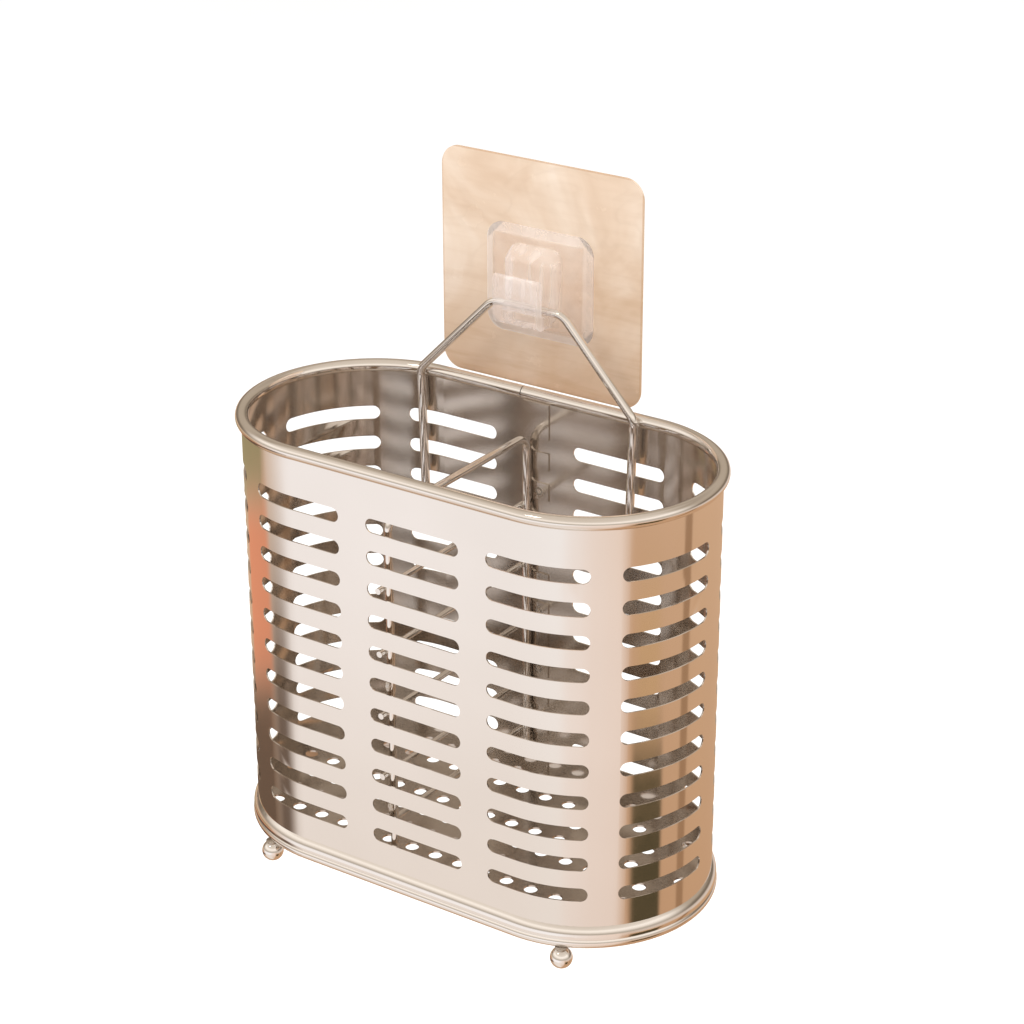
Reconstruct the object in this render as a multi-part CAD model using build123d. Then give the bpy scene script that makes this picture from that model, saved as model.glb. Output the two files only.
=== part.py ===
from build123d import *
import math
import os

# Wall-hung cutlery basket: obround slotted sheet wall, rolled rim, perforated
# base on four ball feet, wire hanger, wire divider, clear hook on a clear pad.
# Millimetres. +Z up, +Y into the wall. Origin: centre of the pad's back face.

# ---------------------------------------------------------------- dimensions
BX = 6.6            # basket centre line, to the right of the pad's centre
BY = -45.5          # basket centre line, in front of the wall
BZ = -54.2          # height of the first row of slots

L = 40.4            # half length of the straight sides
R = 40.0            # outside radius of the rounded ends
T = 0.5             # sheet thickness
WALL_TOP = 17.0     # heights below are above the first row of slots
WALL_BOT = -124.05

SLOT_H = 4.7        # slot height
SLOT_PITCH = 10.616
SLOT_ROWS = 11
# slot columns as start and end along the outside, from the middle of the front
SLOT_COLS = [(-186.6, -153.2), (-143.3, -109.8), (-100.0, -66.4),
             (-56.6, -22.9), (-12.7, 21.0), (30.6, 63.9), (73.2, 106.2),
             (118.3, 151.8), (163.6, 197.0)]

SEAM_X0, SEAM_X1 = -9.5, 0.4     # overlap of the two ends of the sheet
SEAM_T = 0.5
SEAM_CUT_X = -6.6                # inner ends of the slot notches in the lapped strip

RIM_Z, RIM_RO, RIM_RI = 16.6, 2.1, 1.6   # rolled rim channel
RIM_GAP = 0.3                            # gap where its ends meet

FLOOR_Z, FLOOR_T = -117.5, 0.6
SKIRT_T = 0.6
HOLE_D, HOLE_PX, HOLE_PY = 4.4, 9.07, 9.9

RING_BOT = -124.6
RING_LIP_R = 38.6

FOOT_R = 3.5
FOOT_X, FOOT_Y, FOOT_Z = 56.0, 37.5, -128.2
FOOT_NECK_R = 1.4

CX = -6.6           # common centre line of hanger, hook, pad and divider

HANG_D = 2.8        # hanger wire
HANG_Y = 36.0
HANG_TOP_Z = 46.9
HANG_TOP_LEFT, HANG_TOP_RIGHT = 11.8, 14.0   # corners either side of CX
HANG_SHOULDER_Z = 18.0
HANG_SHOULDER_HALF = 40.2
HANG_FOOT_Z = -28.0
HANG_FOOT_HALF = 38.9
HANG_TOP_RAD_L, HANG_TOP_RAD_R, HANG_SHOULDER_RAD = 7.0, 6.0, 5.0

DIV_D = 2.5         # divider frame wire
DIV_Y = 36.9
DIV_TOP_Z = 3.3
DIV_BOT_Z = -109.6
DIV_RAD = 5.0
BAR_D = 2.0         # divider cross bars
BAR_DX = -2.15      # bars lie on the left side of the frame
BAR_Z = [-21.23, -42.46, -63.70, -84.93, -102.4]
BAR_FRONT = [-39.9, -39.9, -39.9, -39.9, -38.4]
BAR_BACK = [39.0, 39.0, 39.0, 39.0, 38.4]

WALL_Y = 45.5       # wall plane
ADH_T, FILM_T = 0.3, 0.4
PAD_W, PAD_H, PAD_R = 74.2, 74.2, 6.5
PAD_ZC = 54.2

PLATE_W, PLATE_H, PLATE_T, PLATE_R = 39.4, 35.6, 1.8, 6.0
PLATE_EDGE_T, PLATE_BEVEL = 0.6, 3.0     # thin edge, then a wide sloping border
PLATE_ZC = 51.9
BOSS_W, BOSS_Z0, BOSS_Z1, BOSS_Y = 19.0, 41.3, 64.6, 37.75
BOSS_SHOULDER_Z = 60.6                   # where the sloping top meets the front
ARM_W = 16.4
ARM_Z0, ARM_FLOOR = 41.3, 45.2
LIP_Y0, LIP_Y1, LIP_Z1 = 30.4, 33.1, 57.6

# frame of the basket's own cross sections: local (r, z) -> (0, -r, z)
PR = Plane(origin=(0, 0, 0), x_dir=(0, -1, 0), z_dir=(-1, 0, 0))


def to_row(shape):
    return Pos(BX, BY, BZ) * shape


def ring(face):
    """Run a section around the obround: two half turns and two straights."""
    end = Pos(L, 0, 0) * revolve(face, axis=Axis.Z, revolution_arc=180)
    side = extrude(Pos(-L, 0, 0) * face, amount=2 * L, dir=(1, 0, 0))
    turn = Rot(0, 0, 180)
    return end + side + turn * end + turn * side


def on_outline(s, rad):
    """Point and outward normal at arc length s from the middle of the front."""
    sign = 1 if s >= 0 else -1
    a = abs(s)
    if a <= L:
        x, y, nx, ny = a, -rad, 0.0, -1.0
    elif a <= L + math.pi * R:
        p = -math.pi / 2 + (a - L) / R
        nx, ny = math.cos(p), math.sin(p)
        x, y = L + rad * nx, rad * ny
    else:
        x, y, nx, ny = L - (a - L - math.pi * R), rad, 0.0, 1.0
    return sign * x, y, sign * nx, ny


def slot_tool(s0, s1):
    """One curved slot cutter, with round ends, centred on height zero."""
    h = SLOT_H / 2
    a, b = s0 + h, s1 - h
    n = 14
    ss = [a + (b - a) * i / n for i in range(n + 1)]
    # the turning points of the outline are corners of the cutter as well
    for k in (-L - math.pi * R, -L, L, L + math.pi * R):
        if a < k < b:
            ss.append(k)
    ss = sorted(ss)
    outer = [on_outline(s, R + 1.6)[:2] for s in ss]
    inner = [on_outline(s, R - 2.4)[:2] for s in ss]
    pts = outer + inner[::-1]
    band = extrude(Pos(0, 0, -h) * make_face(Polyline(*pts, close=True)), amount=SLOT_H)
    for s in (a, b):
        x, y, nx, ny = on_outline(s, R - 2.4)
        pl = Plane(origin=(x, y, 0), z_dir=(nx, ny, 0))
        band = band + extrude(pl * Circle(h), amount=4.0)
    return band


def tube_path(points, radii, dia):
    path = FilletPolyline(*points, radius=radii)
    start = path @ 0
    pl = Plane(origin=start, z_dir=path % 0)
    return sweep(pl * Circle(dia / 2), path=path)


parts = {}

# ---------------------------------------------------------------- slotted wall
wall_mid = (WALL_TOP + WALL_BOT) / 2
wall = ring(PR * Pos(R - T / 2, wall_mid) * Rectangle(T, WALL_TOP - WALL_BOT))
seam_z0, seam_z1 = FLOOR_Z, 14.2
seam = Pos((SEAM_X0 + SEAM_X1) / 2, R - T - SEAM_T / 2, (seam_z0 + seam_z1) / 2) * Box(
    SEAM_X1 - SEAM_X0, SEAM_T, seam_z1 - seam_z0)
# the inner end of the strip is cut by the rows of slots too, open at its edge
for k in range(SLOT_ROWS):
    zk = -k * SLOT_PITCH
    y_seam = R - T - SEAM_T / 2
    notch = Pos((SEAM_CUT_X + SLOT_H / 2 + SEAM_X1 + 1) / 2, y_seam, zk) * Box(
        SEAM_X1 + 1 - SEAM_CUT_X - SLOT_H / 2, SEAM_T * 3, SLOT_H)
    notch = notch + Pos(SEAM_CUT_X + SLOT_H / 2, y_seam, zk) * Rot(90, 0, 0) * Cylinder(
        SLOT_H / 2, SEAM_T * 3)
    seam = seam - notch
wall = wall + seam
tools = []
for s0, s1 in SLOT_COLS:
    t = slot_tool(s0, s1)
    for k in range(SLOT_ROWS):
        tools.append(Pos(0, 0, -k * SLOT_PITCH) * t)
wall = wall - tools
parts["wall_sheet"] = wall

# ---------------------------------------------------------------- rim channel
sec = Circle(RIM_RO) - Circle(RIM_RI)
sec = sec - Pos(0, -RIM_RO) * Rectangle(T, 2.0)
rim = ring(PR * Pos(R - T / 2, RIM_Z) * sec)
rim = rim - Pos(SEAM_X0, R, RIM_Z) * Box(RIM_GAP, 8, 8)
parts["rim_channel"] = rim

# ---------------------------------------------------------------- base plate
RB = R - T
floor2d = SlotOverall(2 * (L + RB), 2 * RB)
floor = Pos(0, 0, FLOOR_Z - FLOOR_T) * extrude(floor2d, amount=FLOOR_T)
skirt_h = FLOOR_Z - FLOOR_T - WALL_BOT
skirt = ring(PR * Pos(RB - SKIRT_T / 2, WALL_BOT + skirt_h / 2) * Rectangle(SKIRT_T, skirt_h))
plate = floor + skirt
holes = []
nx = int((L + RB) / HOLE_PX)
for i in range(-nx, nx + 1):
    for j in (-3.5, -2.5, -1.5, -0.5, 0.5, 1.5, 2.5, 3.5):
        x, y = i * HOLE_PX, j * HOLE_PY
        d = math.hypot(max(abs(x) - L, 0.0), y)
        if d <= RB - 4.4:
            holes.append(Pos(x, y, FLOOR_Z) * Cylinder(HOLE_D / 2, 4))
plate = plate - holes
parts["base_plate"] = plate

# ---------------------------------------------------------------- base ring
p0 = (R, -117.3)
p1 = (41.42, -121.25)
pg = (41.22, -121.55)
p2 = (40.55, RING_BOT)
outline = [
    ThreePointArc(p0, (41.08, -118.75), p1),
    Line(p1, pg),
    ThreePointArc(pg, (41.62, -123.2), p2),
    Line(p2, (RING_LIP_R, RING_BOT)),
    Line((RING_LIP_R, RING_BOT), (RING_LIP_R, WALL_BOT)),
    Line((RING_LIP_R, WALL_BOT), (R, WALL_BOT)),
    Line((R, WALL_BOT), p0),
]
parts["base_ring"] = ring(PR * make_face(Curve() + outline))

# ---------------------------------------------------------------- ball feet
for name, sx, sy in (("foot_front_left", -1, -1), ("foot_front_right", 1, -1),
                     ("foot_back_left", -1, 1), ("foot_back_right", 1, 1)):
    ball = Pos(sx * FOOT_X, sy * FOOT_Y, FOOT_Z) * Sphere(FOOT_R)
    nz = RING_BOT - FOOT_Z
    neck = Pos(sx * FOOT_X, sy * FOOT_Y, FOOT_Z + nz / 2) * Cylinder(FOOT_NECK_R, nz)
    parts[name] = ball + neck

# ---------------------------------------------------------------- wire hanger
hp = [(-HANG_FOOT_HALF, HANG_FOOT_Z), (-HANG_SHOULDER_HALF, HANG_SHOULDER_Z),
      (-HANG_TOP_LEFT, HANG_TOP_Z), (HANG_TOP_RIGHT, HANG_TOP_Z),
      (HANG_SHOULDER_HALF, HANG_SHOULDER_Z), (HANG_FOOT_HALF, HANG_FOOT_Z)]
hp = [(CX + x, HANG_Y, z) for x, z in hp]
parts["hanger_wire"] = tube_path(
    hp, [HANG_SHOULDER_RAD, HANG_TOP_RAD_L, HANG_TOP_RAD_R, HANG_SHOULDER_RAD], HANG_D)

# ---------------------------------------------------------------- wire divider
dp = [(CX, -DIV_Y, DIV_BOT_Z), (CX, -DIV_Y, DIV_TOP_Z),
      (CX, DIV_Y, DIV_TOP_Z), (CX, DIV_Y, DIV_BOT_Z)]
parts["divider_frame"] = tube_path(dp, [DIV_RAD, DIV_RAD], DIV_D)
for i, (z, y0, y1) in enumerate(zip(BAR_Z, BAR_FRONT, BAR_BACK)):
    bar = Pos(CX + BAR_DX, (y0 + y1) / 2, z) * Rot(90, 0, 0) * Cylinder(BAR_D / 2, y1 - y0)
    parts[f"divider_bar_{i + 1}"] = bar

# ---------------------------------------------------------------- clear pad
def rounded_slab(w, h, rad, y0, y1, zc):
    pl = Plane(origin=(CX, y1, zc), x_dir=(1, 0, 0), z_dir=(0, -1, 0))
    return extrude(pl * RectangleRounded(w, h, rad), amount=y1 - y0)


y_adh = WALL_Y - ADH_T
y_film = y_adh - FILM_T
y_plate = y_film - PLATE_T
parts["adhesive_layer"] = rounded_slab(PAD_W, PAD_H, PAD_R, y_adh, WALL_Y, PAD_ZC)
parts["adhesive_pad"] = rounded_slab(PAD_W, PAD_H, PAD_R, y_film, y_adh, PAD_ZC)

# ---------------------------------------------------------------- clear hook
def round_corners(face, corners):
    """Round chosen corners of a flat profile: a list of (point, radius)."""
    for pt, rad in corners:
        v = face.vertices().sort_by_distance(pt)[0]
        face = fillet([v], rad)
    return face


plate_pl = Plane(origin=(CX, y_film, PLATE_ZC), x_dir=(1, 0, 0), z_dir=(0, -1, 0))
slope = math.degrees(math.atan2(PLATE_BEVEL, PLATE_T - PLATE_EDGE_T))
plate_h = extrude(plate_pl * RectangleRounded(PLATE_W, PLATE_H, PLATE_R), amount=PLATE_EDGE_T)
plate_h = plate_h + extrude(plate_pl * Pos(0, 0, PLATE_EDGE_T) * RectangleRounded(
    PLATE_W, PLATE_H, PLATE_R), amount=PLATE_T - PLATE_EDGE_T, taper=slope)

# side profile of arm and lip, as (y, z), extruded across the arm's width
ARM_X0 = CX - ARM_W / 2
arm_prof = make_face(Polyline(
    (ARM_X0, y_plate + 0.6, ARM_Z0 - 2.4), (ARM_X0, BOSS_Y, ARM_Z0), (ARM_X0, LIP_Y0, ARM_Z0),
    (ARM_X0, LIP_Y0, LIP_Z1), (ARM_X0, LIP_Y1, LIP_Z1), (ARM_X0, LIP_Y1, ARM_FLOOR),
    (ARM_X0, BOSS_Y, ARM_FLOOR), (ARM_X0, BOSS_Y, ARM_FLOOR + 4.0),
    (ARM_X0, y_plate + 0.6, ARM_FLOOR + 4.0), close=True))
arm_prof = round_corners(arm_prof, [
    ((ARM_X0, LIP_Y0, ARM_Z0), 2.8), ((ARM_X0, LIP_Y0, LIP_Z1), 1.0), ((ARM_X0, LIP_Y1, LIP_Z1), 1.3),
    ((ARM_X0, LIP_Y1, ARM_FLOOR), 1.2), ((ARM_X0, BOSS_Y, ARM_FLOOR), 1.2),
    ((ARM_X0, BOSS_Y, ARM_Z0), 3.0)])
arm = extrude(arm_prof, amount=ARM_W, dir=(1, 0, 0))

# boss with a sloping, rounded top
BOSS_X0 = CX - BOSS_W / 2
boss_prof = make_face(Polyline(
    (BOSS_X0, y_plate + 0.6, BOSS_Z0), (BOSS_X0, BOSS_Y, BOSS_Z0), (BOSS_X0, BOSS_Y, BOSS_SHOULDER_Z),
    (BOSS_X0, y_plate - 0.6, BOSS_Z1), (BOSS_X0, y_plate + 0.6, BOSS_Z1), close=True))
boss_prof = round_corners(boss_prof, [((BOSS_X0, BOSS_Y, BOSS_SHOULDER_Z), 1.6)])
boss = extrude(boss_prof, amount=BOSS_W, dir=(1, 0, 0))
uprights = [e for e in boss.edges().filter_by(Axis.Z) if abs(e.center().Y - BOSS_Y) < 0.01]
boss = fillet(uprights, 2.0)
# its top corners are rounded as well, seen from in front
mask_pl = Plane(origin=(CX, LIP_Y1, (BOSS_Z0 + BOSS_Z1) / 2), x_dir=(1, 0, 0), z_dir=(0, -1, 0))
mask = extrude(mask_pl * RectangleRounded(BOSS_W, BOSS_Z1 - BOSS_Z0, 3.2), amount=-14.0)
boss = boss & mask
hook = plate_h + arm + boss
parts["wall_hook"] = hook

# ---------------------------------------------------------------- write
os.makedirs("parts", exist_ok=True)
for name, shape in parts.items():
    s = to_row(shape)
    s.label = name
    export_step(s, f"parts/{name}.step")
    print(name, len(s.solids()), round(s.volume, 1), s.is_valid)
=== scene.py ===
import bpy
import bmesh
import math
from mathutils import Matrix, Vector, noise


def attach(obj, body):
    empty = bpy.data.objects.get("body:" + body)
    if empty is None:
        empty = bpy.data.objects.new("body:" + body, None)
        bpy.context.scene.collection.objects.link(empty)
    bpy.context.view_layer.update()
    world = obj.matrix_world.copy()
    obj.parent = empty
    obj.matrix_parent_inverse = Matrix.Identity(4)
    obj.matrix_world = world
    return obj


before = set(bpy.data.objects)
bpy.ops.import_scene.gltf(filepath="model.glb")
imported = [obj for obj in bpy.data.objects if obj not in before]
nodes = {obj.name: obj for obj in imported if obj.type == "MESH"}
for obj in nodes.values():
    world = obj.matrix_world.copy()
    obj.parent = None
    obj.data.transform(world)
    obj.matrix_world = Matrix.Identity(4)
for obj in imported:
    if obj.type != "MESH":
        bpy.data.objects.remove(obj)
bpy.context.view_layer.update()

scene = bpy.context.scene
MM = 0.001

# basket centre line and first slot row, in the row frame (mm)
BX, BY, BZ = 6.6, -45.5, -54.2
CX = -6.6


def P(x, y, z):
    """A point given in the basket's own frame, in mm, as metres in the row frame."""
    return Vector(((x + BX) * MM, (y + BY) * MM, (z + BZ) * MM))


# ------------------------------------------------------------------ camera
az, el, roll = math.radians(34.16), math.radians(24.26), math.radians(-0.16)
back = Vector((math.sin(az) * math.cos(el), -math.cos(az) * math.cos(el), math.sin(el)))
right = Vector((math.cos(az), math.sin(az), 0.0))
up = back.cross(right)
r2 = right * math.cos(roll) + up * math.sin(roll)
u2 = -right * math.sin(roll) + up * math.cos(roll)
cam_data = bpy.data.cameras.new("camera")
cam_data.sensor_width = 36.0
cam_data.lens = 95.77
cam = bpy.data.objects.new("camera", cam_data)
scene.collection.objects.link(cam)
m = Matrix.Identity(4)
for i in range(3):
    m[i][0], m[i][1], m[i][2] = r2[i], u2[i], back[i]
loc = P(436.95, -624.94, 335.81)
m[0][3], m[1][3], m[2][3] = loc
cam.matrix_world = m
scene.camera = cam

scene.view_settings.view_transform = "Standard"
scene.view_settings.look = "None"


# ------------------------------------------------------------------ helpers
def srgb(r, g, b, k=1.0):
    def lin(c):
        c /= 255.0
        return c / 12.92 if c <= 0.04045 else ((c + 0.055) / 1.055) ** 2.4
    return (lin(r) * k, lin(g) * k, lin(b) * k, 1.0)


class Mat:
    """A small builder for one procedural material."""

    def __init__(self, name):
        self.m = bpy.data.materials.new(name)
        self.m.use_nodes = True
        self.t = self.m.node_tree
        self.t.nodes.clear()
        self.out = self.t.nodes.new("ShaderNodeOutputMaterial")
        self.b = self.t.nodes.new("ShaderNodeBsdfPrincipled")
        self.t.links.new(self.b.outputs[0], self.out.inputs[0])
        self.co = self.t.nodes.new("ShaderNodeTexCoord").outputs["Object"]

    def set(self, **kw):
        for k, v in kw.items():
            self.b.inputs[k.replace("_", " ")].default_value = v
        return self

    def link(self, a, b):
        self.t.links.new(a, b)

    def mapped(self, scale, loc=(0, 0, 0)):
        n = self.t.nodes.new("ShaderNodeMapping")
        n.inputs["Scale"].default_value = scale
        n.inputs["Location"].default_value = loc
        self.link(self.co, n.inputs["Vector"])
        return n.outputs[0]

    def noise(self, vec, scale, detail=3.0, rough=0.5, dist=0.0):
        n = self.t.nodes.new("ShaderNodeTexNoise")
        n.inputs["Scale"].default_value = scale
        n.inputs["Detail"].default_value = detail
        n.inputs["Roughness"].default_value = rough
        n.inputs["Distortion"].default_value = dist
        self.link(vec, n.inputs["Vector"])
        return n.outputs["Fac"]

    def ramp(self, fac, stops, interp="LINEAR"):
        n = self.t.nodes.new("ShaderNodeValToRGB")
        n.color_ramp.interpolation = interp
        e = n.color_ramp.elements
        while len(e) > 1:
            e.remove(e[0])
        e[0].position, e[0].color = stops[0]
        for p, c in stops[1:]:
            e.new(p).color = c
        self.link(fac, n.inputs[0])
        return n.outputs["Color"]

    def range(self, fac, lo, hi, a=0.0, b=1.0):
        n = self.t.nodes.new("ShaderNodeMapRange")
        n.inputs["From Min"].default_value = a
        n.inputs["From Max"].default_value = b
        n.inputs["To Min"].default_value = lo
        n.inputs["To Max"].default_value = hi
        self.link(fac, n.inputs["Value"])
        return n.outputs[0]

    def mix(self, fac, a, b, mode="MIX"):
        n = self.t.nodes.new("ShaderNodeMix")
        n.data_type = "RGBA"
        n.blend_type = mode
        for s, v in ((n.inputs[0], fac), (n.inputs[6], a), (n.inputs[7], b)):
            if isinstance(v, bpy.types.NodeSocket):
                self.link(v, s)
            else:
                s.default_value = v
        return n.outputs[2]

    def math(self, op, a, b=None):
        n = self.t.nodes.new("ShaderNodeMath")
        n.operation = op
        for sock, v in ((n.inputs[0], a), (n.inputs[1], b)):
            if isinstance(v, bpy.types.NodeSocket):
                self.link(v, sock)
            elif v is not None:
                sock.default_value = v
        return n.outputs[0]

    def bump(self, height, strength, dist):
        n = self.t.nodes.new("ShaderNodeBump")
        n.inputs["Strength"].default_value = strength
        n.inputs["Distance"].default_value = dist
        self.link(height, n.inputs["Height"])
        return n

    def colour(self, sock):
        self.link(sock, self.b.inputs["Base Color"])

    def rough(self, sock):
        self.link(sock, self.b.inputs["Roughness"])

    def normal(self, n):
        self.link(n.outputs[0], self.b.inputs["Normal"])


def steel(name, tint, r0, r1, wave=0.0, wave_map=(1, 1, 1), dirt=0.04, inner_shade=None):
    """Polished stainless steel: slight tint drift, soft smudges, fine grain, slight waviness.
    The darker tint given for the faces that look into the basket is painted shade there."""
    k = Mat(name)
    k.set(Metallic=1.0)
    big = k.noise(k.mapped((1, 1, 1)), 14.0, 3.0, 0.55)

    def shades(t):
        return k.ramp(big, [(0.3, (t[0] * (1 - dirt), t[1] * (1 - dirt * 1.2), t[2] * (1 - dirt * 1.5), 1)),
                            (0.7, (min(1, t[0] * 1.03), min(1, t[1] * 1.03), min(1, t[2] * 1.03), 1))])

    if inner_shade is None:
        k.colour(shades(tint))
    else:
        # distance from the middle line of the obround, in metres
        sep = k.t.nodes.new("ShaderNodeSeparateXYZ")
        k.link(k.mapped((1, 1, 1), (-BX * MM, -BY * MM, 0)), sep.inputs[0])
        ax = k.math("MAXIMUM", k.math("SUBTRACT", k.math("ABSOLUTE", sep.outputs[0]), 0.0404), 0.0)
        dist = k.math("SQRT", k.math("ADD", k.math("MULTIPLY", ax, ax),
                                     k.math("MULTIPLY", sep.outputs[1], sep.outputs[1])))
        inner = k.range(dist, 1.0, 0.0, 0.03962, 0.03975)
        # the faces looking into the basket take the darker tint: painted shade
        k.colour(k.mix(inner, shades(tint), shades(inner_shade)))
        dull = k.math("MULTIPLY", inner, 0.065)
    smudge = k.noise(k.mapped((1, 1, 1), (3.1, 1.7, 0.4)), 55.0, 5.0, 0.62, 0.4)
    fine = k.noise(k.mapped((1, 1, 1)), 420.0, 2.0, 0.5)
    r_a = k.range(smudge, r0, r1, 0.35, 0.72)
    add = k.t.nodes.new("ShaderNodeMath")
    add.operation = "MULTIPLY_ADD"
    k.link(fine, add.inputs[0])
    add.inputs[1].default_value = (r1 - r0) * 0.4
    k.link(r_a, add.inputs[2])
    k.rough(add.outputs[0] if inner_shade is None else k.math("ADD", add.outputs[0], dull))
    if wave:
        k.normal(k.bump(k.noise(k.mapped(wave_map, (0.3, 0.9, 0.2)), 30.0, 1.5, 0.4), 0.5, wave))
    return k.m


# the last tint is painted shade on the faces that look into the basket
sheet_mat = steel("sheet_steel", (0.86, 0.84, 0.82), 0.055, 0.10, 0.00016, (1, 1, 0.12), 0.03, (0.60, 0.55, 0.50))
# the base plate's steel is tinted darker than the wall's: painted shade on the basket's floor
floor_shade_mat = steel("floor_steel", (0.60, 0.555, 0.515), 0.12, 0.22, 0.0001)
rim_mat = steel("polished_steel", (0.88, 0.86, 0.84), 0.05, 0.09)
wire_mat = steel("wire_steel", (0.86, 0.845, 0.83), 0.04, 0.085)
ball_mat = steel("ball_chrome", (0.90, 0.89, 0.88), 0.02, 0.045)
weld_mat = steel("weld_steel", (0.62, 0.585, 0.55), 0.2, 0.36, 0.0003, (6, 6, 6), 0.2)


def clear_plastic(name):
    """Clear moulded plastic, seen through straight on and milkier towards its edges, a painted sheen; its border
    and thick block carry painted highlights.
    """
    k = Mat(name)
    k.set(IOR=1.49, Specular_IOR_Level=0.65, Coat_Weight=0.4, Coat_Roughness=0.04)
    n = k.noise(k.mapped((1, 1, 1)), 60.0, 3.0, 0.5)
    k.colour(k.ramp(n, [(0.3, (0.93, 0.845, 0.80, 1)), (0.7, (0.98, 0.925, 0.90, 1))]))
    s1 = k.noise(k.mapped((1, 1, 1), (1, 2, 3)), 160.0, 4.0, 0.6)
    k.rough(k.range(s1, 0.10, 0.24, 0.3, 0.75))
    k.normal(k.bump(k.noise(k.mapped((1, 1, 1), (5, 2, 1)), 90.0, 2.0, 0.5), 0.5, 0.0002))
    lw = k.t.nodes.new("ShaderNodeLayerWeight")
    lw.inputs["Blend"].default_value = 0.45
    haze = k.noise(k.mapped((1, 1, 1), (7, 3, 2)), 130.0, 3.0, 0.55)
    body = k.range(haze, 0.02, 0.09, 0.3, 0.7)
    # streaks of painted highlight in the thick block
    glint_streaks = k.noise(k.mapped((4.0, 4.0, 0.5), (2, 5, 1)), 90.0, 0.5, 0.4, 0.2)
    glint_streaks = k.range(glint_streaks, 0.0, 0.15, 0.48, 0.7)
    # the plate's sloping border is made whiter, a painted highlight; the thick block in front of it is hazier than
    # the thin plate, with streaks of painted highlight
    sep = k.t.nodes.new("ShaderNodeSeparateXYZ")
    k.link(k.mapped((1, 1, 1), (0, 0, 0.0023)), sep.inputs[0])
    ex = k.range(k.math("ABSOLUTE", sep.outputs[0]), 0.0, 1.0, 0.0163, 0.0171)
    ez = k.range(k.math("ABSOLUTE", sep.outputs[2]), 0.0, 1.0, 0.0144, 0.0152)
    thick = k.range(sep.outputs[1], 1.0, 0.0, -0.0032, -0.0026)
    extra = k.math("MAXIMUM", k.math("MULTIPLY", k.math("MAXIMUM", ex, ez), 0.2),
                   k.math("MULTIPLY", thick, k.math("ADD", glint_streaks, 0.10)))
    # the facing term makes grazing views whiter: painted sheen
    a = k.math("ADD", k.math("ADD", body, extra), k.math("MULTIPLY", lw.outputs["Facing"], 0.3))
    # light reaches what lies behind it
    path = k.t.nodes.new("ShaderNodeLightPath")
    stop = k.math("SUBTRACT", 1.0, k.math("MAXIMUM", path.outputs["Is Shadow Ray"], path.outputs["Is Diffuse Ray"]))
    a = k.math("MULTIPLY", a, stop)
    clear = k.t.nodes.new("ShaderNodeBsdfTransparent")
    clear.inputs[0].default_value = (0.985, 0.97, 0.965, 1)
    ms = k.t.nodes.new("ShaderNodeMixShader")
    k.link(a, ms.inputs[0])
    k.link(clear.outputs[0], ms.inputs[1])
    k.link(k.b.outputs[0], ms.inputs[2])
    k.link(ms.outputs[0], k.out.inputs[0])
    return k.m


hook_mat = clear_plastic("clear_hook")


def film(name):
    """Clear film on its adhesive: cloudy and warm, with faint veins, streaks and trapped haze."""
    k = Mat(name)
    k.set(IOR=1.46, Roughness=0.2, Coat_Weight=0.35, Coat_Roughness=0.12)
    warp = k.noise(k.mapped((1, 1, 1)), 22.0, 4.0, 0.6, 0.8)
    base = k.ramp(warp, [(0.3, srgb(207, 177, 149)), (0.43, srgb(221, 196, 172)),
                         (0.56, srgb(230, 210, 190)), (0.72, srgb(241, 227, 213))])
    # warmer and a little darker towards the bottom
    sep = k.t.nodes.new("ShaderNodeSeparateXYZ")
    k.link(k.co, sep.inputs[0])
    low = k.range(sep.outputs[2], 1.0, 0.0, -0.045, 0.012)
    base = k.mix(low, base, k.mix(0.72, base, srgb(200, 162, 127)))
    veins = k.noise(k.mapped((1.0, 1.0, 1.8), (0.2, 0.1, 0.6)), 26.0, 3.0, 0.5, 1.0)
    vm = k.ramp(veins, [(0.45, (0, 0, 0, 1)), (0.5, (1, 1, 1, 1)), (0.55, (0, 0, 0, 1))])
    base = k.mix(vm, base, k.mix(0.12, base, srgb(186, 156, 128)))
    # grain, stronger low down
    streak = k.noise(k.mapped((0.45, 1.0, 4.2), (1.2, 0.4, 0.3)), 70.0, 4.0, 0.6, 0.3)
    sm = k.math("MULTIPLY", k.range(streak, 0.0, 0.85, 0.48, 0.68), k.range(low, 0.25, 1.0))
    base = k.mix(sm, base, k.mix(0.5, base, srgb(186, 148, 112)))
    # the cut edge of the film
    rim_x = k.range(k.math("ABSOLUTE", sep.outputs[0]), 0.0, 1.0, 0.03655, 0.0369)
    rim_z = k.range(k.math("ABSOLUTE", sep.outputs[2]), 0.0, 1.0, 0.03655, 0.0369)
    base = k.mix(k.math("MAXIMUM", rim_x, rim_z), base, k.mix(0.55, base, srgb(190, 150, 112)))
    k.colour(base)
    s1 = k.noise(k.mapped((1, 1, 1), (2, 2, 2)), 90.0, 5.0, 0.6)
    k.rough(k.range(s1, 0.14, 0.32, 0.3, 0.75))
    k.normal(k.bump(k.noise(k.mapped((1, 1, 1), (4, 4, 4)), 45.0, 3.0, 0.5), 0.3, 0.0002))
    return k.m


film_mat = film("clear_film")


def paint(node, mat):
    o = nodes[node]
    if not o.material_slots:
        o.data.materials.append(mat)
    for s in o.material_slots:
        s.material = mat


paint("wall_sheet", sheet_mat)
paint("base_plate", floor_shade_mat)
paint("rim_channel", rim_mat)
paint("base_ring", rim_mat)
for n in ("foot_front_left", "foot_front_right", "foot_back_left", "foot_back_right"):
    paint(n, ball_mat)
for n in ("hanger_wire", "divider_frame", "divider_bar_1", "divider_bar_2", "divider_bar_3",
          "divider_bar_4", "divider_bar_5"):
    paint(n, wire_mat)
paint("wall_hook", hook_mat)
paint("adhesive_pad", film_mat)
paint("adhesive_layer", film_mat)

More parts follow.
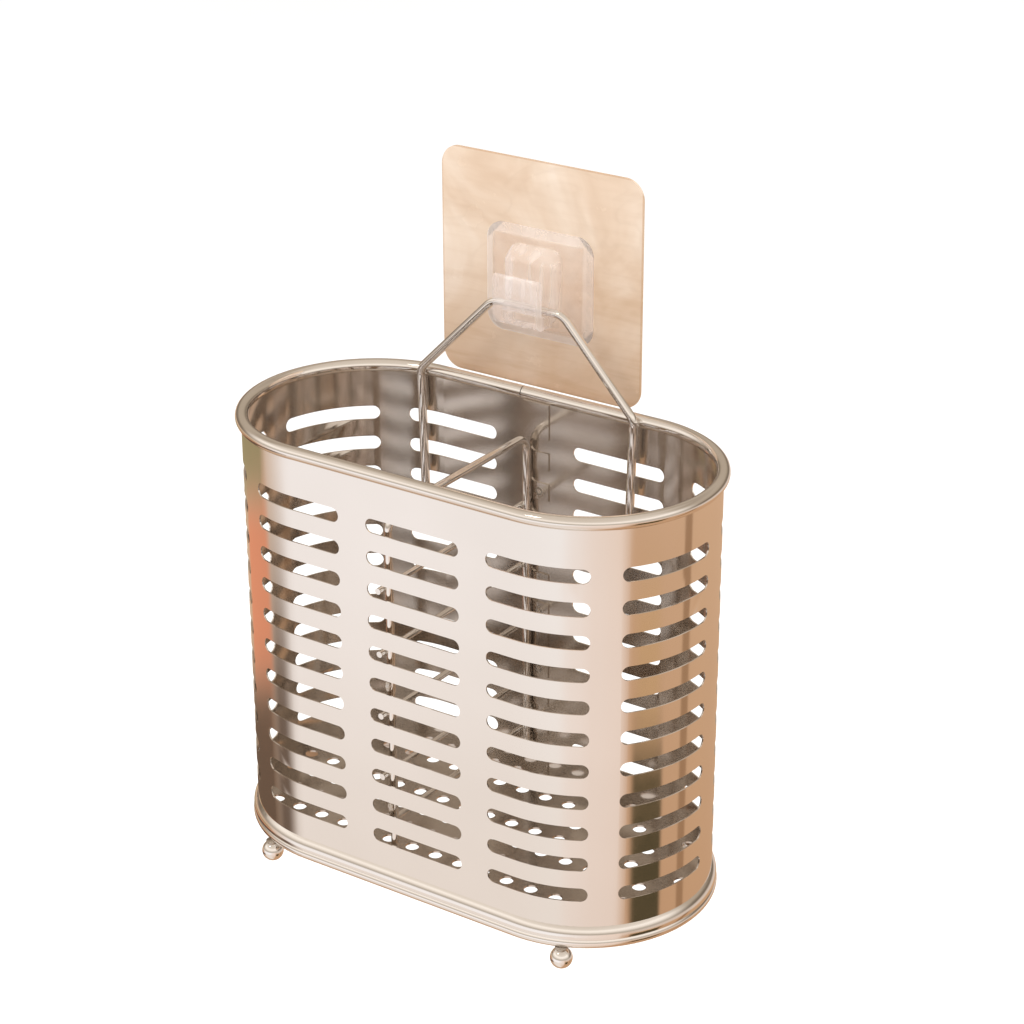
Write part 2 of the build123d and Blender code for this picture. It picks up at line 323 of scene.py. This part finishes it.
# ------------------------------------------------------------------ welds
def piece(name, bm, mat, body="basket"):
    me = bpy.data.meshes.new(name)
    bm.to_mesh(me)
    bm.free()
    for p in me.polygons:
        p.use_smooth = True
    me.materials.append(mat)
    o = bpy.data.objects.new(name, me)
    scene.collection.objects.link(o)
    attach(o, body)
    return o


def revolve(bm, centre, profile, wobble, seed, n=40):
    """Turn a list of (radius, height) about a vertical line, in mm, with a hand-made unevenness."""
    rows = []
    for r, z in profile:
        row = []
        for i in range(n):
            a = 2 * math.pi * i / n
            w = noise.noise(Vector((math.cos(a) * 1.7 + seed, math.sin(a) * 1.7, z * 0.9)))
            rr = r + wobble * w
            row.append(bm.verts.new(P(centre[0] + rr * math.cos(a), centre[1] + rr * math.sin(a), z)))
        rows.append(row)
    for r0, r1 in zip(rows, rows[1:]):
        for i in range(n):
            bm.faces.new((r0[i], r0[(i + 1) % n], r1[(i + 1) % n], r1[i]))
    bm.faces.new(rows[0][::-1])
    bm.faces.new(rows[-1])


def blob(bm, centre, radii, seed, rough=0.16):
    """A small weld bead: a ball pressed to the given half sizes, with ripples."""
    made = bmesh.ops.create_icosphere(bm, subdivisions=4, radius=1.0)["verts"]
    c = Vector(centre)
    for v in made:
        d = v.co.normalized()
        w = 1.0 + rough * noise.noise(d * 2.3 + Vector((seed, seed * 0.7, 1.3)))
        w += 0.05 * math.sin(d.z * 9.0 + seed)
        q = Vector((d.x * radii[0] * w, d.y * radii[1] * w, d.z * radii[2] * w)) + c
        v.co = P(q.x, q.y, q.z)


# a cone of weld where each ball foot meets the ring
for i, (nm, sx, sy) in enumerate((("front_left", -1, -1), ("front_right", 1, -1),
                                  ("back_left", -1, 1), ("back_right", 1, 1))):
    bm = bmesh.new()
    revolve(bm, (sx * 56.0, sy * 37.5), [(1.42, -125.0), (1.5, -124.9), (1.62, -124.8), (1.82, -124.7),
                                         (2.05, -124.63), (2.0, -124.5)], 0.12, 3.1 + i)
    if nm == "front_left":
        blob(bm, (-53.2, -37.6, -125.2), (1.5, 0.8, 0.75), 2.4, 0.2)
    piece("foot_weld_" + nm, bm, weld_mat)

# the hanger is welded inside the rim and again near its lower ends
bm = bmesh.new()
for i, sx in enumerate((-1, 1)):
    blob(bm, (CX + sx * 40.1, 37.7, 15.6), (1.2, 0.8, 1.7), 1.0 + i)
    blob(bm, (CX + sx * 38.95, 38.3, -26.0), (1.2, 1.15, 1.7), 4.0 + i)
piece("hanger_welds", bm, weld_mat)

# the divider's legs are tacked to the wall, front and back
bm = bmesh.new()
for i, sy in enumerate((-1, 1)):
    for j, z in enumerate((-53.0, -95.5)):
        blob(bm, (CX, sy * 38.75, z), (1.15, 0.85, 1.9), 9.0 + 3 * i + j)
# and its bars to the legs
for i, z in enumerate((-21.23, -42.46, -63.70, -84.93, -102.4)):
    for j, sy in enumerate((-1, 1)):
        blob(bm, (CX - 1.1, sy * 36.9, z), (0.6, 0.8, 0.85), 20.0 + 2 * i + j, 0.22)
piece("divider_welds", bm, weld_mat)

# spot welds down the lap at the back: shallow round dimples with a raised edge
bm = bmesh.new()
for j in range(1, 5):
    z = -5.3 - (2 * j - 1) * 10.616
    rings = []
    for r, h in ((0.0, -0.05), (0.55, -0.03), (0.9, 0.02), (1.1, 0.09), (1.3, 0.06), (1.45, -0.02)):
        if r == 0.0:
            rings.append([bm.verts.new(P(-3.2, 39.0 - h, z))])
            continue
        rings.append([bm.verts.new(P(-3.2 + r * math.cos(t * math.pi / 16), 39.0 - h,
                                     z + r * math.sin(t * math.pi / 16))) for t in range(32)])
    for t in range(32):
        bm.faces.new((rings[0][0], rings[1][t], rings[1][(t + 1) % 32]))
    for r0, r1 in zip(rings[1:], rings[2:]):
        for t in range(32):
            bm.faces.new((r0[t], r1[t], r1[(t + 1) % 32], r0[(t + 1) % 32]))
piece("seam_spot_welds", bm, weld_mat)

# ------------------------------------------------------------------ stage
bm = bmesh.new()
bmesh.ops.create_grid(bm, x_segments=8, y_segments=8, size=6.0)
me = bpy.data.meshes.new("stage_floor")
bm.to_mesh(me)
bm.free()
floor = bpy.data.objects.new("stage_floor", me)
floor.location = (0, 0, -0.45)
scene.collection.objects.link(floor)
fm = Mat("stage_floor")
fm.set(Roughness=0.8, Specular_IOR_Level=0.1)
fm.colour(fm.ramp(fm.noise(fm.mapped((1, 1, 1)), 1.2, 2.0), [(0.3, (0.955, 0.953, 0.95, 1)), (0.7, (0.975, 0.973, 0.97, 1))]))
me.materials.append(fm.m)
floor.visible_glossy = False

# ------------------------------------------------------------------ world
world = bpy.data.worlds.new("world")
scene.world = world
world.use_nodes = True
wt = world.node_tree
wt.nodes.clear()
wo = wt.nodes.new("ShaderNodeOutputWorld")
bg_plain = wt.nodes.new("ShaderNodeBackground")
bg_plain.inputs[0].default_value = (1.0, 0.997, 0.992, 1)
bg_plain.inputs[1].default_value = 1.0
bg_env = wt.nodes.new("ShaderNodeBackground")
bg_env.inputs[1].default_value = 1.0
mixs = wt.nodes.new("ShaderNodeMixShader")
lp = wt.nodes.new("ShaderNodeLightPath")
wt.links.new(lp.outputs["Is Glossy Ray"], mixs.inputs[0])
wt.links.new(bg_plain.outputs[0], mixs.inputs[1])
wt.links.new(bg_env.outputs[0], mixs.inputs[2])
wt.links.new(mixs.outputs[0], wo.inputs[0])
tc = wt.nodes.new("ShaderNodeTexCoord")
turn = wt.nodes.new("ShaderNodeMapping")
turn.inputs["Rotation"].default_value = (0, 0, math.radians(56))
wt.links.new(tc.outputs["Generated"], turn.inputs["Vector"])
grad = wt.nodes.new("ShaderNodeTexGradient")
grad.gradient_type = "RADIAL"
wt.links.new(turn.outputs[0], grad.inputs[0])
sep = wt.nodes.new("ShaderNodeSeparateXYZ")
wt.links.new(tc.outputs["Generated"], sep.inputs[0])
AZ, UP = grad.outputs[1], sep.outputs["Z"]


def th(deg):
    """A plan direction, -236 to 124 degrees, as a place on the gradient."""
    return (deg + 56) / 360.0 + 0.5


def world_ramp(sock, stops):
    n = wt.nodes.new("ShaderNodeValToRGB")
    e = n.color_ramp.elements
    while len(e) > 1:
        e.remove(e[0])
    e[0].position, e[0].color = stops[0]
    for p, c in stops[1:]:
        e.new(p).color = c
    wt.links.new(sock, n.inputs[0])
    return n.outputs["Color"]


def step(sock, at, soft):
    n = wt.nodes.new("ShaderNodeMapRange")
    n.interpolation_type = "SMOOTHSTEP"
    n.inputs["From Min"].default_value = at - soft
    n.inputs["From Max"].default_value = at + soft
    wt.links.new(sock, n.inputs["Value"])
    return n.outputs[0]


def times(a, b):
    n = wt.nodes.new("ShaderNodeMath")
    n.operation = "MULTIPLY"
    wt.links.new(a, n.inputs[0])
    wt.links.new(b, n.inputs[1])
    return n.outputs[0]


def less(a, b):
    n = wt.nodes.new("ShaderNodeMath")
    n.operation = "SUBTRACT"
    wt.links.new(a, n.inputs[0])
    wt.links.new(b, n.inputs[1])
    return n.outputs[0]


def mixed(fac, a, b, mode="MIX"):
    n = wt.nodes.new("ShaderNodeMix")
    n.data_type = "RGBA"
    n.blend_type = mode
    for s, v in ((n.inputs[0], fac), (n.inputs[6], a), (n.inputs[7], b)):
        if isinstance(v, bpy.types.NodeSocket):
            wt.links.new(v, s)
        else:
            s.default_value = v
    return n.outputs[2]


def card(under, a0, a1, w0, w1, soft_a, soft_w, colour, strength=1.0):
    """A soft coloured card in the surroundings, from direction a0 to a1 and height w0 to w1."""
    m = times(less(step(AZ, th(a0), soft_a / 360), step(AZ, th(a1), soft_a / 360)),
              less(step(UP, w0, soft_w), step(UP, w1, soft_w)))
    n = wt.nodes.new("ShaderNodeMath")
    n.operation = "MULTIPLY"
    wt.links.new(m, n.inputs[0])
    n.inputs[1].default_value = strength
    return mixed(n.outputs[0], under, colour)


# below the horizon: a bright cream side in front, warm tan to the right and behind
low = world_ramp(AZ, [
    (th(-236), srgb(214, 180, 148)), (th(-168), srgb(206, 176, 150)), (th(-154), srgb(226, 206, 190)),
    (th(-134), srgb(252, 245, 241)), (th(-80), srgb(255, 250, 247)), (th(-54), srgb(246, 229, 217)),
    (th(-30), srgb(240, 216, 198)), (th(-17), srgb(208, 168, 134)), (th(60), srgb(211, 172, 137)),
    (th(124), srgb(206, 168, 136))])
fade = world_ramp(step(UP, -0.47, 0.10), [(0.0, (0.92, 0.86, 0.80, 1)), (1.0, (1.06, 1.06, 1.07, 1))])
low = mixed(1.0, low, fade, "MULTIPLY")
low = card(low, -78, -27, -0.75, -0.43, 9, 0.05, srgb(250, 232, 221), 0.6)
low = card(low, -163, -141, -0.62, -0.435, 9, 0.045, srgb(98, 78, 64), 0.92)
low = card(low, -240, -163, -0.62, -0.462, 9, 0.018, srgb(96, 76, 62), 0.92)
low = card(low, -206, -163, -0.462, -0.405, 4, 0.012, srgb(234, 146, 108), 0.85)
low = card(low, -226, -166, -0.402, -0.30, 6, 0.012, srgb(150, 140, 100), 0.85)
low = card(low, -14, 8, -0.487, -0.435, 6, 0.016, srgb(204, 164, 108), 0.4)
low = card(low, -16, 13, -0.75, -0.488, 2.5, 0.008, srgb(72, 65, 44), 0.95)
low = card(low, 33, 42, -0.75, -0.30, 1.5, 0.02, srgb(150, 112, 80), 0.75)
# nearer the horizon the tan side turns pale and more neutral
low = card(low, -22, 112, -0.37, 0.3, 14, 0.035, srgb(224, 212, 202), 0.72)
# above it: a bright cream room in front, a darker tan one behind, a pale ceiling over both
front = world_ramp(UP, [
    (0.0, (0.50, 0.43, 0.36, 1)), (0.10, (0.66, 0.57, 0.48, 1)), (0.26, (0.97, 0.87, 0.77, 1)),
    (0.45, (1.12, 1.02, 0.92, 1)), (0.62, (0.86, 0.76, 0.66, 1)), (0.85, (0.74, 0.64, 0.54, 1)),
    (1.0, (0.72, 0.62, 0.52, 1))])
behind = world_ramp(UP, [
    (0.0, (0.20, 0.155, 0.115, 1)), (0.14, (0.26, 0.205, 0.15, 1)), (0.30, (0.46, 0.37, 0.28, 1)),
    (0.50, (0.50, 0.41, 0.32, 1)), (0.70, (0.42, 0.34, 0.26, 1)), (0.88, (0.66, 0.56, 0.46, 1)),
    (1.0, (0.72, 0.62, 0.52, 1))])
high = mixed(less(step(AZ, th(-172), 0.05), step(AZ, th(28), 0.05)), behind, front)
env = mixed(step(UP, -0.10, 0.10), low, high)
wt.links.new(env, bg_env.inputs[0])


# ------------------------------------------------------------------ lights
def area(name, loc, target, size, power, colour=(1, 1, 1), glossy=True):
    d = bpy.data.lights.new(name, "AREA")
    d.shape = "RECTANGLE"
    d.size, d.size_y = size
    d.energy = power
    d.color = colour
    o = bpy.data.objects.new(name, d)
    scene.collection.objects.link(o)
    v = Vector(target) - Vector(loc)
    o.rotation_mode = "QUATERNION"
    o.rotation_quaternion = v.to_track_quat("-Z", "Y")
    o.location = loc
    o.visible_glossy = glossy
    return o


area("key", (-0.7, -1.0, 1.2), (0, -0.05, -0.1), (0.9, 0.9), 9.0, (1.0, 0.97, 0.93), False)
area("spark", (-0.35, -0.9, 1.1), (0, -0.05, -0.1), (0.22, 0.22), 0.5, (1.0, 0.97, 0.93))
area("fill", (1.3, -0.6, 0.6), (0, -0.05, -0.1), (0.8, 0.8), 3.0, (1.0, 0.95, 0.88), False)
area("top", (0.1, -0.1, 1.3), (0, -0.05, -0.1), (1.0, 1.0), 6.0, (1.0, 0.98, 0.96), False)
